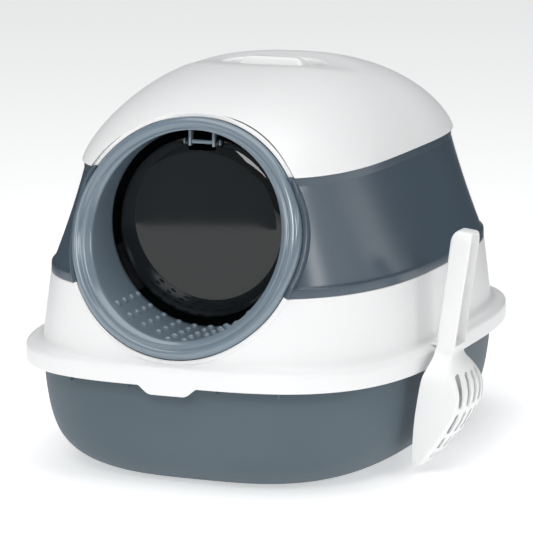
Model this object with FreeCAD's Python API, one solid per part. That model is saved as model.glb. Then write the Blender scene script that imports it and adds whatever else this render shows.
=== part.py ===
import FreeCAD, Part
import math
import os

# Covered litter box: grey tub, three-piece domed hood, round entry tunnel
# with a hanging see-through door, recessed carry handle, and a scoop that
# hangs on the hood's rim.  Millimetres, +Z up, the door faces -Y,
# origin on the floor under the middle of the tub.

os.makedirs("parts", exist_ok=True)
V = FreeCAD.Vector

# ------------------------------------------------------------ dimensions
WALL = 3.0                       # moulded wall
GAP = 0.4                        # room between nested walls
# plan of the rim (superellipse half axes and exponent)
RIM_A, RIM_B, RIM_N = 210.0, 281.2, 3.4
RIM_Z0, RIM_Z1 = 111.2, 130.0    # skirt's lower edge, ledge
BAND_Z0, BAND_Z1 = 199.2, 311.9  # grey band
BAND_A0, BAND_B0, BAND_N0 = 191.5, 264.5, 3.0
BAND_A1, BAND_B1, BAND_N1 = 150.8, 239.1, 3.5
TOP_Z = 402.8                    # crown's highest point
CROWN_P, CROWN_QA, CROWN_QB = 1.5, 3.03, 2.2
TUB_A, TUB_B, TUB_N = 198.0, 263.5, 3.25
# entry
LEAN = math.radians(16.85)       # the entry ring leans back
RING_Y, RING_Z = -240.0, 251.7   # centre of the ring's front plane
RING_R = 119.3
HOLE_R = 119.7                   # hole in the hood that the ring passes through
COLLAR_R = 124.0
COLLAR_W = -5.0                  # collar's front, behind the ring's front
TUBE_R, TUBE_RO = 99.0, 101.6
TUBE_Z, TUBE_END = 252.5, -184.0
# door
DOOR_R, DOOR_T, DOOR_Y = 90.2, 3.0, -187.5
PIN_Z, PIN_R = 337.7, 2.0
KNUCKLE_R, KNUCKLE_BORE = 4.0, 2.07
POST_X0, POST_X1 = 11.2, 13.8
KNUCKLE_X0, KNUCKLE_X1 = 14.4, 17.8
HEAD_X0, HEAD_X1 = 18.0, 19.5    # heads of the pin
# dish and handle in the crown
DISH_A, DISH_B, DISH_Z = 55.0, 33.0, 371.0
GRIP_X, GRIP_Y, GRIP_Z = 36.0, 8.5, 400.6
# scoop
SCOOP_LEAN = 7.5
SCOOP_AT = (225.8, -95.5, 133.0)


# ------------------------------------------------------------ helpers
def sec_wire(a, b, n, z, count=64):
    pts = []
    for i in range(count):
        t = 2.0 * math.pi * i / count
        f = math.atan2(b * math.sin(t), a * math.cos(t))
        c, s = abs(math.cos(f)), abs(math.sin(f))
        r = ((c / a) ** n + (s / b) ** n) ** (-1.0 / n)
        pts.append(V(r * math.cos(f), r * math.sin(f), z))
    cur = Part.BSplineCurve()
    cur.interpolate(pts, PeriodicFlag=True)
    return Part.Wire([cur.toShape()])


def loft(secs, ruled=True):
    return Part.makeLoft([sec_wire(*s) for s in secs], True, ruled)


def grow(secs, d):
    return [(a + d, b + d, n, z) for (a, b, n, z) in secs]


def box(x0, x1, y0, y1, z0, z1):
    return Part.makeBox(x1 - x0, y1 - y0, z1 - z0, V(x0, y0, z0))


def cyl(r, p, d, length):
    return Part.makeCylinder(r, length, V(*p), V(*d))


def one(shape):
    return max(shape.Solids, key=lambda q: q.Volume)


def save(shape, name):
    shape.exportStep("parts/%s.step" % name)
    print(name, "solids", len(shape.Solids), "valid", shape.isValid(),
          "volume_cm3 %.2f" % (shape.Volume / 1000.0))


def lerp(p, q, t):
    return p + (q - p) * t


# ring axis: outward and up
AX = V(0, -math.cos(LEAN), math.sin(LEAN))
RC = V(0, RING_Y, RING_Z)


def on_axis(w):
    return RC + AX * w


def ax_cyl(r, w0, w1):
    return Part.makeCylinder(r, w1 - w0, on_axis(w0), AX)


# ------------------------------------------------------------ tub
tub_prof = [(0.0, 72.0), (0.8, 65.0), (2.2, 59.0), (4.5, 52.0), (8.0, 44.0),
            (13.0, 35.0), (20.0, 26.0), (28.0, 19.0), (37.0, 13.5),
            (48.0, 9.3), (62.0, 5.7), (84.0, 2.4), (111.0, 0.0),
            (123.0, -0.8)]
tub_out = [(TUB_A - i, TUB_B - i, TUB_N, z) for z, i in tub_prof]
tub_in = [(TUB_A - i - WALL, TUB_B - i - WALL, TUB_N, max(z, 0.0) + (WALL if z < 6 else WALL * 0.75 if z < 15 else WALL * 0.4 if z < 40 else 0.3))
          for z, i in tub_prof[:-1]]
tub_in = tub_in + [(TUB_A + 0.8 - WALL, TUB_B + 0.8 - WALL, TUB_N, 128.0)]
tub = loft(tub_out).cut(loft(tub_in))
flange = loft([(203.2, 276.0, RIM_N, 123.0), (203.6, 276.4, RIM_N, 126.5)])
flange = flange.cut(loft([(TUB_A + 0.8 - WALL, TUB_B + 0.8 - WALL, TUB_N, 120.0),
                          (TUB_A + 0.8 - WALL, TUB_B + 0.8 - WALL, TUB_N, 130.0)]))
tub = tub.fuse(flange)
# small stiffening ribs under the flange, two each side of the front tongue
for x in (-46.0, 46.0, -110.0, 110.0):
    for s in (-1.0, 1.0):
        yy = TUB_B - 1.0 if abs(x) < 60 else TUB_B - 6.0
        y0, y1 = sorted((s * (yy - 6.0), s * (yy + 8.0)))
        rib = box(x - 1.2, x + 1.2, y0, y1, 112.5, 124.0)
        tub = tub.fuse(rib.cut(loft(tub_in)))
tub = one(tub)
save(tub, "base_tray")

# ------------------------------------------------------------ hood shells
sk_prof = [(111.2, 0.0), (123.0, 0.0), (125.2, -0.35), (127.0, -1.2),
           (128.5, -2.6), (129.5, -4.4), (130.0, -6.6), (130.5, -9.0),
           (131.2, -11.0), (132.6, -12.6), (135.0, -13.6), (138.5, -14.0)]


def sk_sec(z, d):
    return (RIM_A + d, RIM_B + d * (0.94 if d < -8 else 1.0), lerp(RIM_N, 3.3, min(1.0, max(0.0, (z - 128) / 10.0))), z)


skirt_out = [sk_sec(z, d) for z, d in sk_prof]
skirt_out += [(lerp(196.0, BAND_A0, t), lerp(268.0, BAND_B0, t), lerp(3.3, BAND_N0, t), lerp(138.5, BAND_Z0, t))
              for t in (0.25, 0.5, 0.75, 1.0)]
# the inside follows the wall and opens over the tub's flange
skirt_in = [(RIM_A - WALL, RIM_B - WALL, RIM_N, 105.0), (RIM_A - WALL, RIM_B - WALL, RIM_N, 124.5),
            (RIM_A - 3.6, RIM_B - 3.6, RIM_N, 126.9),
            (193.6, 265.6, 3.3, 127.0)]
skirt_in += [(lerp(193.0, BAND_A0 - WALL, t), lerp(265.0, BAND_B0 - WALL, t), lerp(3.3, BAND_N0, t), lerp(134.0, BAND_Z0, t))
             for t in (0.0, 0.3, 0.65)] + [(BAND_A0 - WALL, BAND_B0 - WALL, BAND_N0, BAND_Z0),
                                          (BAND_A0 - WALL, BAND_B0 - WALL, BAND_N0, BAND_Z0 + 6)]
skirt_o = loft(skirt_out)
skirt_i = loft(skirt_in)
skirt = skirt_o.cut(skirt_i)
# tongue at the middle of the front edge
tz = RIM_Z0 - 8.6
tong = Part.Face(Part.makePolygon([V(-30.5, -RIM_B, RIM_Z0 + 3), V(-30.5, -RIM_B, RIM_Z0), V(-28, -RIM_B, RIM_Z0 - 0.8),
                                   V(-21.5, -RIM_B, tz + 1.6), V(-17, -RIM_B, tz), V(17, -RIM_B, tz),
                                   V(21.5, -RIM_B, tz + 1.6), V(28, -RIM_B, RIM_Z0 - 0.8), V(30.5, -RIM_B, RIM_Z0),
                                   V(30.5, -RIM_B, RIM_Z0 + 3), V(-30.5, -RIM_B, RIM_Z0 + 3)]))
skirt = skirt.fuse(tong.extrude(V(0, 2.0, 0)).translate(V(0, 0.5, 0)))


band_out = [(BAND_A0, BAND_B0, BAND_N0, BAND_Z0), (BAND_A0 - 0.4, BAND_B0 - 0.4, BAND_N0, 204.6),
            (BAND_A0 - 1.3, BAND_B0 - 1.2, BAND_N0, 206.8), (BAND_A0 - 3.6, BAND_B0 - 3.0, BAND_N0, 208.2)]
for i in range(1, 10):
    t = i / 9.0
    sag = 1.6 * 4 * t * (1 - t)
    band_out.append((lerp(BAND_A0 - 3.6, BAND_A1 - 0.2, t) - sag, lerp(BAND_B0 - 3.0, BAND_B1 - 0.2, t) - sag,
                     lerp(BAND_N0, BAND_N1, t), lerp(208.2, 302.0, t)))
band_out += [(BAND_A1 - 0.7, BAND_B1 - 0.7, BAND_N1, 303.4), (BAND_A1 - 0.7, BAND_B1 - 0.7, BAND_N1, BAND_Z1)]
band_in = [(a - WALL, b - WALL, n, z) for (a, b, n, z) in band_out[4:]]
band_in = [(BAND_A0 - 3.6 - WALL, BAND_B0 - 3.0 - WALL, BAND_N0, 190.0),
           (BAND_A0 - 3.6 - WALL, BAND_B0 - 3.0 - WALL, BAND_N0, 206.0)] + band_in[:-1]
band_in += [(BAND_A1 - 5.2, BAND_B1 - 5.2, BAND_N1, 304.5), (BAND_A1 - 5.2, BAND_B1 - 5.2, BAND_N1, 330.0)]
band_o = loft(band_out)
band_i = loft(band_in)


def crown_secs(a0, b0, n0, z0, z1, ts):
    out = []
    for t in ts:
        g = 1.0 - t ** CROWN_P
        out.append((a0 * g ** (1 / CROWN_QA), b0 * g ** (1 / CROWN_QB), lerp(n0, 2.1, t), lerp(z0, z1, t)))
    return out


TS = (0.0, 0.05, 0.1, 0.16, 0.22, 0.29, 0.36, 0.43, 0.5, 0.57, 0.64, 0.7, 0.76, 0.81, 0.86, 0.9, 0.935, 0.96, 0.98, 0.992, 0.998)
crown_o = loft(crown_secs(BAND_A1 + 0.8, BAND_B1 + 0.8, 3.56, BAND_Z1, TOP_Z, TS))
crown_i_secs = crown_secs(BAND_A1 + 0.8 - WALL, BAND_B1 + 0.8 - WALL, 3.56, BAND_Z1, TOP_Z - WALL, TS)
crown_i = loft([(crown_i_secs[0][0], crown_i_secs[0][1], 3.56, BAND_Z1 - 4)] + crown_i_secs)

# spigots of the band: down into the skirt, up into the crown
band = band_o.cut(band_i)
lo = grow([(lerp(196.0, BAND_A0, t), lerp(268.0, BAND_B0, t), lerp(3.3, BAND_N0, t), lerp(138.5, BAND_Z0, t)) for t in (0.84, 1.0)], -WALL - GAP)
lo = lo + [(lo[-1][0], lo[-1][1], lo[-1][2], BAND_Z0 + 3.0)]
lo_cut = [(a - 2.4, b - 2.4, n, z) for (a, b, n, z) in lo]
lo_cut = [(lo_cut[0][0], lo_cut[0][1], lo_cut[0][2], 180.0)] + lo_cut[1:-1] + [(lo_cut[-1][0], lo_cut[-1][1], lo_cut[-1][2], 205.0)]
band = band.fuse(loft(lo).cut(loft(lo_cut)))
hi = [(a - GAP, b - GAP, n, z) for (a, b, n, z) in crown_i_secs[:4]]
hi = [(hi[0][0], hi[0][1], hi[0][2], BAND_Z1 - 5.0)] + hi[:3]
hi_cut = [(a - 2.4, b - 2.4, n, z) for (a, b, n, z) in hi]
hi_cut = [(hi_cut[0][0], hi_cut[0][1], hi_cut[0][2], BAND_Z1 - 9.0)] + hi_cut[1:] + [(hi_cut[-1][0], hi_cut[-1][1], hi_cut[-1][2], 330.0)]
band = band.fuse(loft(hi).cut(loft(hi_cut)))

# collar round the entry, one stretch of it on each shell
BIG = 700.0
hole = ax_cyl(HOLE_R, -130.0, 60.0)
boss = ax_cyl(COLLAR_R, -75.0, COLLAR_W).cut(hole)
boss_sk = boss.common(box(-BIG, BIG, -BIG, 0, 168.0, BAND_Z0)).cut(skirt_i)
boss_bd = boss.common(box(-BIG, BIG, -BIG, 0, BAND_Z0, BAND_Z1)).cut(band_i)
boss_cr = boss.common(box(-BIG, BIG, -BIG, 0, BAND_Z1, TOP_Z)).cut(crown_i)
skirt = one(skirt.cut(hole).fuse(boss_sk))
save(skirt, "hood_skirt")
band = one(band.cut(hole).fuse(boss_bd))
save(band, "hood_band")

# crown with its oval dish
def ell_cyl(a, b, z0, z1):
    e = Part.Ellipse(V(0, 0, z0), a, b).toShape()
    return Part.Face(Part.Wire([e])).extrude(V(0, 0, z1 - z0))


cup = ell_cyl(DISH_A + 2.6, DISH_B + 2.6, DISH_Z - 2.6, TOP_Z + 6).common(crown_o)
crown = crown_o.cut(crown_i).fuse(cup).cut(ell_cyl(DISH_A, DISH_B, DISH_Z, TOP_Z + 12))
crown = one(crown.cut(hole).fuse(boss_cr))
save(crown, "hood_crown")

# bridge grip standing in the dish
def rounded_xz(x0, x1, z0, z1, r, y0, y1):
    p = [V(x0, y0, z0), V(x0, y0, z1 - r), V(x0 + r, y0, z1), V(x1 - r, y0, z1), V(x1, y0, z1 - r), V(x1, y0, z0)]
    q = r * math.sqrt(0.5)
    e = [Part.LineSegment(p[0], p[1]).toShape(),
         Part.Arc(p[1], V(x0 + r - q, y0, z1 - r + q), p[2]).toShape(),
         Part.LineSegment(p[2], p[3]).toShape(),
         Part.Arc(p[3], V(x1 - r + q, y0, z1 - r + q), p[4]).toShape(),
         Part.LineSegment(p[4], p[5]).toShape(),
         Part.LineSegment(p[5], p[0]).toShape()]
    return Part.Face(Part.Wire(e)).extrude(V(0, y1 - y0, 0))


grip = rounded_xz(-GRIP_X, GRIP_X, DISH_Z, GRIP_Z, 13.0, -GRIP_Y, GRIP_Y)
grip = grip.cut(rounded_xz(-GRIP_X + 8, GRIP_X - 8, DISH_Z - 5, GRIP_Z - 10.5, 8.0, -GRIP_Y - 5, GRIP_Y + 5))
edges = [e for e in grip.Edges if abs(e.BoundBox.YMin - e.BoundBox.YMax) < 1e-6 and e.BoundBox.ZMax > DISH_Z + 1.0]
try:
    g2 = grip.makeFillet(2.6, edges)
    if g2.isValid():
        grip = g2
except Exception as err:
    print("grip stays square:", err)
save(one(grip), "carry_handle")

# ------------------------------------------------------------ entry tunnel
front = [(RING_R, -3.4), (118.5, -1.6), (116.7, -0.4), (114.4, 0.0), (112.5, -0.55), (110.8, -1.5), (109.2, -1.75),
         (107.4, -1.5), (105.4, -2.2), (102.6, -4.3), (99.4, -7.1), (95.5, -10.6)]
XD = V(1, 0, 0)


def rw(r, w):
    return on_axis(w) + XD * r


cur = Part.BSplineCurve()
cur.interpolate([rw(r, w) for r, w in front])
prof = [cur.toShape()]
# behind the lip: a plate, then the spigot that stands in the hood's hole
tail = [(95.5, -10.6), (95.5, -16.0), (RING_R - WALL, -16.0), (RING_R - WALL, -30.0), (RING_R, -30.0), (RING_R, -3.4)]
for p, q in zip(tail[:-1], tail[1:]):
    prof.append(Part.LineSegment(rw(*p), rw(*q)).toShape())
lip = Part.Face(Part.Wire(prof)).revolve(RC, AX, 360)
tube = cyl(TUBE_RO, (0, TUBE_END, TUBE_Z), (0, -1, 0), 140.0)
tube = tube.cut(ax_cyl(400.0, -9.0, 300.0))
frame = lip.fuse(tube).cut(cyl(TUBE_R, (0, TUBE_END + 1, TUBE_Z), (0, -1, 0), 200.0))
for s in (-1.0, 1.0):
    x0, x1 = sorted((s * POST_X0, s * POST_X1))
    post = box(x0, x1, DOOR_Y - 4.0, TUBE_END - 0.0, PIN_Z, TUBE_Z + math.sqrt(TUBE_R ** 2 - POST_X0 ** 2) + 1.2)
    post = post.fuse(cyl(4.0, (x0, DOOR_Y, PIN_Z), (1, 0, 0), x1 - x0).cut(box(x0 - 1, x1 + 1, TUBE_END, TUBE_END + 20, PIN_Z - 20, PIN_Z + 20)))
    frame = frame.fuse(post)
frame = one(frame.cut(cyl(PIN_R + 0.02, (-30, DOOR_Y, PIN_Z), (1, 0, 0), 60)))
save(frame, "entry_tunnel")

# ------------------------------------------------------------ door
pin = cyl(PIN_R, (-HEAD_X0 - 0.2, DOOR_Y, PIN_Z), (1, 0, 0), 2 * HEAD_X0 + 0.4)
pin = pin.fuse(cyl(3.0, (-HEAD_X1, DOOR_Y, PIN_Z), (1, 0, 0), HEAD_X1 - HEAD_X0)).fuse(cyl(3.0, (HEAD_X0, DOOR_Y, PIN_Z), (1, 0, 0), HEAD_X1 - HEAD_X0))
save(one(pin), "door_pin")

door = cyl(DOOR_R, (0, DOOR_Y + DOOR_T / 2, TUBE_Z), (0, -1, 0), DOOR_T)
try:
    d2 = door.makeFillet(1.2, [e for e in door.Edges if e.Length > 300])
    if d2.isValid():
        door = d2
except Exception as err:
    print("door edge stays square:", err)
door = door.cut(box(-14.4, 14.4, DOOR_Y - 10, DOOR_Y + 10, PIN_Z - 8.2, PIN_Z + 30))
for s in (-1.0, 1.0):
    x0, x1 = sorted((s * KNUCKLE_X0, s * KNUCKLE_X1))
    door = door.fuse(cyl(KNUCKLE_R, (x0, DOOR_Y, PIN_Z), (1, 0, 0), x1 - x0))
    # room for the pin's head beside each knuckle
    h0, h1 = sorted((s * KNUCKLE_X1, s * (HEAD_X1 + 1.2)))
    door = door.cut(box(h0, h1, DOOR_Y - 10, DOOR_Y + 10, PIN_Z - 4.0, PIN_Z + 20))
door = one(door.cut(cyl(KNUCKLE_BORE, (-30, DOOR_Y, PIN_Z), (1, 0, 0), 60)))
save(door, "door_flap")

# ------------------------------------------------------------ scoop
# own frame: +z along the handle, +x away from the box, neck at z = 0
# blade stations: z, lip x, where the side wall ends, floor's middle x, half width
blade = [(0.0, -9.5, 8.0, 9.6, 17.5), (-4.0, -9.5, 8.0, 10.6, 18.0), (-9.0, -9.5, 8.2, 14.0, 22.0),
         (-14.0, -9.8, 8.8, 19.6, 29.0), (-19.0, -10.6, 11.0, 24.2, 35.0), (-26.0, -12.3, 17.0, 28.8, 39.0),
         (-36.0, -13.0, 23.2, 31.6, 41.0), (-46.0, -13.3, 25.6, 31.9, 41.5), (-56.0, -13.6, 24.6, 30.4, 41.3),
         (-66.0, -14.0, 20.9, 27.6, 40.4), (-77.0, -14.4, 15.4, 23.0, 38.3), (-88.0, -15.0, 9.2, 17.6, 34.6),
         (-98.0, -15.7, 3.0, 11.6, 30.0), (-107.0, -16.5, -3.0, 5.0, 25.0), (-115.0, -17.3, -8.4, -1.6, 19.4),
         (-122.0, -18.1, -13.2, -8.6, 13.0), (-128.0, -19.0, -17.0, -15.6, 6.0)]


def u_wire(z, x0, xr, x1, w, count=40):
    """Section of the blade: two side walls and a bulging floor."""
    pts = [V(x0, w, z)]
    for i in range(count + 1):
        t = math.pi / 2 - math.pi * i / count
        pts.append(V(xr + (x1 - xr) * math.cos(t), w * math.sin(t), z))
    pts += [V(x0, -w, z)]
    return Part.makePolygon(pts + [pts[0]])


SW = 2.3
b_out = Part.makeLoft([u_wire(*q) for q in blade], True, True)
b_in = Part.makeLoft([u_wire(z, x0 - 30.0, max(xr - 1.0, x0 - 20.0), x1 - SW, max(w - SW, 1.5)) for z, x0, xr, x1, w in blade[3:-1]], True, True)
head = b_out.cut(b_in)
# slots through the floor, in rows that close in towards the tip
rows = [(-20.5, -51.0, 15.6, 3.3), (-57.0, -79.0, 15.2, 3.2), (-84.5, -98.0, 12.0, 2.7), (-103.5, -112.0, 8.2, 2.0)]
for z1, z0, pitch, wdt in rows:
    for k in (-2, -1, 0, 1, 2):
        y = k * pitch
        slot = box(0, 120, y - wdt, y + wdt, z0 + wdt, z1 - wdt)
        slot = slot.fuse(cyl(wdt, (0, y, z0 + wdt), (1, 0, 0), 120)).fuse(cyl(wdt, (0, y, z1 - wdt), (1, 0, 0), 120))
        if z1 < -100:
            slot.translate(V(-14.0, 0, 0))
        head = head.cut(slot)
HL = 120.0


def scoop_sec(z, x0, x1, w, r):
    """Rounded box section of the handle."""
    pts = []
    for cx, cy, a0 in ((x1 - r, w - r, 0), (x0 + r, w - r, 90), (x0 + r, -w + r, 180), (x1 - r, -w + r, 270)):
        for i in range(7):
            a = math.radians(a0 + 15.0 * i)
            pts.append(V(cx + r * math.cos(a), cy + r * math.sin(a), z))
    return Part.makePolygon(pts + [pts[0]])


hand = Part.makeLoft([scoop_sec(-3.0, -9.5, 9.5, 17.5, 2.4), scoop_sec(HL - 16, -10.5, 10.5, 15.2, 2.4),
                      scoop_sec(HL - 8, -10.3, 10.5, 14.6, 2.4), scoop_sec(HL - 3.5, -9.0, 10.2, 12.8, 2.4),
                      scoop_sec(HL - 1.0, -7.0, 9.6, 10.4, 2.4), scoop_sec(HL, -4.6, 8.8, 8.2, 2.4)], True, True)
# the handle is a channel that opens outwards
chan = Part.makeLoft([scoop_sec(4.0, -7.4, 30.0, 15.2, 2.0), scoop_sec(HL - 16, -8.4, 30.0, 12.9, 2.0),
                      scoop_sec(HL - 6, -8.0, 30.0, 11.6, 2.0)], True, True)
hand = hand.cut(chan)
scoop = head.fuse(hand)
scoop.rotate(V(0, 0, 0), V(0, 1, 0), SCOOP_LEAN)
scoop.translate(V(*SCOOP_AT))
# hanging tongue behind the neck: rests on the hood's ledge
hook = box(200.5, 219.0, SCOOP_AT[1] + 3.0, SCOOP_AT[1] + 15.0, 131.4, 134.2)
hook = hook.cut(loft([(s[0] + 0.5, s[1] + 0.5, s[2], s[3] + 0.5) for s in skirt_out]))
scoop = one(scoop.fuse(hook))
save(scoop, "scoop")
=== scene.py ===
import math

import bmesh
import bpy
from mathutils import Matrix, Vector


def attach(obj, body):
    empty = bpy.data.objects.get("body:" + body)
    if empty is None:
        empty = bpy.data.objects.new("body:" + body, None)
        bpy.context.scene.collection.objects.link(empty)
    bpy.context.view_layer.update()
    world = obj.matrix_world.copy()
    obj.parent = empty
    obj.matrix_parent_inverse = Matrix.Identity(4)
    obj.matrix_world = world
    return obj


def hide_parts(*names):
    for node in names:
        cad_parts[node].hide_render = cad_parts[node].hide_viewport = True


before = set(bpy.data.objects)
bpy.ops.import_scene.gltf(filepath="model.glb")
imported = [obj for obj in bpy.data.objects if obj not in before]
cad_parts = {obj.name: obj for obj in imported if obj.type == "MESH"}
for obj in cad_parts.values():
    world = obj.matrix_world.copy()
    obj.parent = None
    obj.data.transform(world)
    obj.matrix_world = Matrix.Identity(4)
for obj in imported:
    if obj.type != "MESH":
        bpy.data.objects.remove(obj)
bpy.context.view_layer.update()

scene = bpy.context.scene
MM = 0.001

# ---------------------------------------------------------------- dimensions
# millimetres, the same frame as the frame's parts: +Z up, the entry faces -Y
RIM_A, RIM_B, RIM_N = 210.0, 281.2, 3.4
RIM_Z0 = 111.2
BAND_Z0, BAND_Z1 = 199.2, 311.9
BAND_A0, BAND_B0, BAND_N0 = 191.5, 264.5, 3.0
BAND_A1, BAND_B1, BAND_N1 = 150.8, 239.1, 3.5
TOP_Z = 402.8
TUB_A, TUB_B, TUB_N = 198.0, 263.5, 3.25
LEAN = math.radians(16.85)
RC = Vector((0.0, -240.0, 251.7))
AX = Vector((0.0, -math.cos(LEAN), math.sin(LEAN)))
UP = Vector((0.0, math.sin(LEAN), math.cos(LEAN)))
RING_R = 119.3
HOLE_R = 119.7
TUBE_R, TUBE_RO, TUBE_Z, TUBE_END = 99.0, 101.6, 252.5, -184.0
DOOR_R, DOOR_T, DOOR_Y = 90.2, 3.0, -187.5
PIN_Z = 337.7
DISH_A, DISH_B, DISH_Z = 55.0, 33.0, 371.0
SCOOP_LEAN = math.radians(7.5)
SCOOP_AT = Vector((225.8, -95.5, 133.0))


# ---------------------------------------------------------------- helpers
def lerp(p, q, t):
    return p + (q - p) * t


def smooth(t):
    t = min(1.0, max(0.0, t))
    return t * t * (3.0 - 2.0 * t)


def se_xy(a, b, n, t):
    f = math.atan2(b * math.sin(t), a * math.cos(t))
    c, s = abs(math.cos(f)), abs(math.sin(f))
    r = ((c / a) ** n + (s / b) ** n) ** (-1.0 / n)
    return r * math.cos(f), r * math.sin(f)


def angles(count, dense=None):
    """Angles round a section, with extra ones near one direction."""
    ts = [2.0 * math.pi * i / count for i in range(count)]
    if dense:
        mid, half, extra = dense
        ts += [mid - half + 2.0 * half * i / extra for i in range(extra + 1)]
    ts = sorted(t % (2.0 * math.pi) for t in ts)
    out = [ts[0]]
    for t in ts[1:]:
        if t - out[-1] > 0.0012:
            out.append(t)
    return out


def profile(nodes, closed=False, k=6, step=6.0):
    """Corner points with a radius each, as a dense line: (a, b, n, z) or (r, w)."""
    m = len(nodes)

    def dist(p, q):
        return math.hypot(q[0] - p[0], q[-1] - p[-1])

    corners = []
    for i, (p, r) in enumerate(nodes):
        if r <= 0 or (not closed and i in (0, m - 1)):
            corners.append([tuple(p)])
            continue
        a, b = nodes[i - 1][0], nodes[(i + 1) % m][0]
        la, lb = dist(p, a), dist(p, b)
        ca = ((a[0] - p[0]) * (b[0] - p[0]) + (a[-1] - p[-1]) * (b[-1] - p[-1])) / (la * lb)
        ang = math.acos(max(-1.0, min(1.0, ca)))
        if ang > 3.1:
            corners.append([tuple(p)])
            continue
        tl = min(r / math.tan(ang / 2.0), 0.48 * la, 0.48 * lb)
        s = [lerp(x, y, tl / la) for x, y in zip(p, a)]
        e = [lerp(x, y, tl / lb) for x, y in zip(p, b)]
        arc = []
        for j in range(k + 1):
            t = j / k
            arc.append(tuple((1 - t) ** 2 * x + 2 * t * (1 - t) * y + t * t * z for x, y, z in zip(s, p, e)))
        corners.append(arc)
    out = []
    for i, c in enumerate(corners):
        out += c
        if i == m - 1 and not closed:
            break
        nxt = corners[(i + 1) % m][0]
        cuts = int(dist(c[-1], nxt) / step)
        for j in range(1, cuts + 1):
            out.append(tuple(lerp(x, y, j / (cuts + 1.0)) for x, y in zip(c[-1], nxt)))
    return out


def make_object(name, verts, faces, sharp=38.0, recalc=True):
    me = bpy.data.meshes.new(name)
    me.from_pydata([(x * MM, y * MM, z * MM) for x, y, z in verts], [], faces)
    bm = bmesh.new()
    bm.from_mesh(me)
    bmesh.ops.remove_doubles(bm, verts=bm.verts, dist=1e-6)
    if recalc:
        bmesh.ops.recalc_face_normals(bm, faces=bm.faces)
    bm.to_mesh(me)
    bm.free()
    ob = bpy.data.objects.new(name, me)
    scene.collection.objects.link(ob)
    finish_shade(ob, sharp)
    return ob


def finish_shade(ob, sharp=38.0):
    ob.data.shade_smooth()
    ob.data.set_sharp_from_angle(angle=math.radians(sharp))


def from_rings(rings, loop=False, cap0=None, cap1=None):
    """Faces through rings of equal length; a cap is a centre point."""
    n = len(rings[0])
    verts = [p for r in rings for p in r]
    faces = []
    m = len(rings)
    for j in range(m if loop else m - 1):
        a, b = j * n, ((j + 1) % m) * n
        for i in range(n):
            k = (i + 1) % n
            faces.append((a + i, a + k, b + k, b + i))
    if cap0 is not None:
        c = len(verts)
        verts.append(cap0)
        faces += [(c, (i + 1) % n, i) for i in range(n)]
    if cap1 is not None:
        c = len(verts)
        verts.append(cap1)
        o = (m - 1) * n
        faces += [(c, o + i, o + (i + 1) % n) for i in range(n)]
    return verts, faces


def section_rings(secs, ts):
    return [[se_xy(a, b, n, t) + (z,) for t in ts] for a, b, n, z in secs]


def ring_point(r, w, phi):
    p = RC + AX * w + (Vector((1, 0, 0)) * math.cos(phi) + UP * math.sin(phi)) * r
    return (p.x, p.y, p.z)


def boolean(ob, cutter, op="DIFFERENCE", sharp=38.0):
    bpy.context.view_layer.update()
    m = ob.modifiers.new("cut", "BOOLEAN")
    m.operation, m.solver, m.object = op, "EXACT", cutter
    dg = bpy.context.evaluated_depsgraph_get()
    me = bpy.data.meshes.new_from_object(ob.evaluated_get(dg))
    old = ob.data
    ob.modifiers.clear()
    ob.data = me
    me.name = old.name
    bpy.data.meshes.remove(old)
    bpy.data.objects.remove(cutter)
    finish_shade(ob, sharp)
    return ob


def bake_modifiers(ob, sharp=38.0):
    bpy.context.view_layer.update()
    dg = bpy.context.evaluated_depsgraph_get()
    me = bpy.data.meshes.new_from_object(ob.evaluated_get(dg))
    old = ob.data
    ob.modifiers.clear()
    ob.data = me
    bpy.data.meshes.remove(old)
    finish_shade(ob, sharp)
    return ob


def join_meshes(name, parts, sharp=38.0):
    bm = bmesh.new()
    for p in parts:
        bm.from_mesh(p.data)
    me = bpy.data.meshes.new(name)
    bm.to_mesh(me)
    bm.free()
    for p in parts:
        bpy.data.objects.remove(p)
    ob = bpy.data.objects.new(name, me)
    scene.collection.objects.link(ob)
    finish_shade(ob, sharp)
    return ob


def rounded_box(name, lo, hi, r, seg=3):
    bm = bmesh.new()
    bmesh.ops.create_cube(bm, size=1.0)
    c = [(l + h) / 2.0 for l, h in zip(lo, hi)]
    s = [h - l for l, h in zip(lo, hi)]
    for v in bm.verts:
        v.co = Vector([(c[i] + v.co[i] * s[i]) * MM for i in range(3)])
    bmesh.ops.bevel(bm, geom=bm.edges[:], offset=r * MM, segments=seg, affect="EDGES", profile=0.5)
    me = bpy.data.meshes.new(name)
    bm.to_mesh(me)
    bm.free()
    ob = bpy.data.objects.new(name, me)
    scene.collection.objects.link(ob)
    finish_shade(ob, 60.0)
    return ob


def cylinder_x(name, r, x0, x1, y, z, bevel=0.6, count=48):
    prof = profile([((0.0, x0), 0), ((r, x0), bevel), ((r, x1), bevel), ((0.0, x1), 0)], k=4, step=4.0)[1:-1]
    rings = [[(w, y + rr * math.cos(2 * math.pi * i / count), z + rr * math.sin(2 * math.pi * i / count))
              for i in range(count)] for rr, w in prof]
    return make_object(name, *from_rings(rings, cap0=(x0, y, z), cap1=(x1, y, z)))


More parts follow.
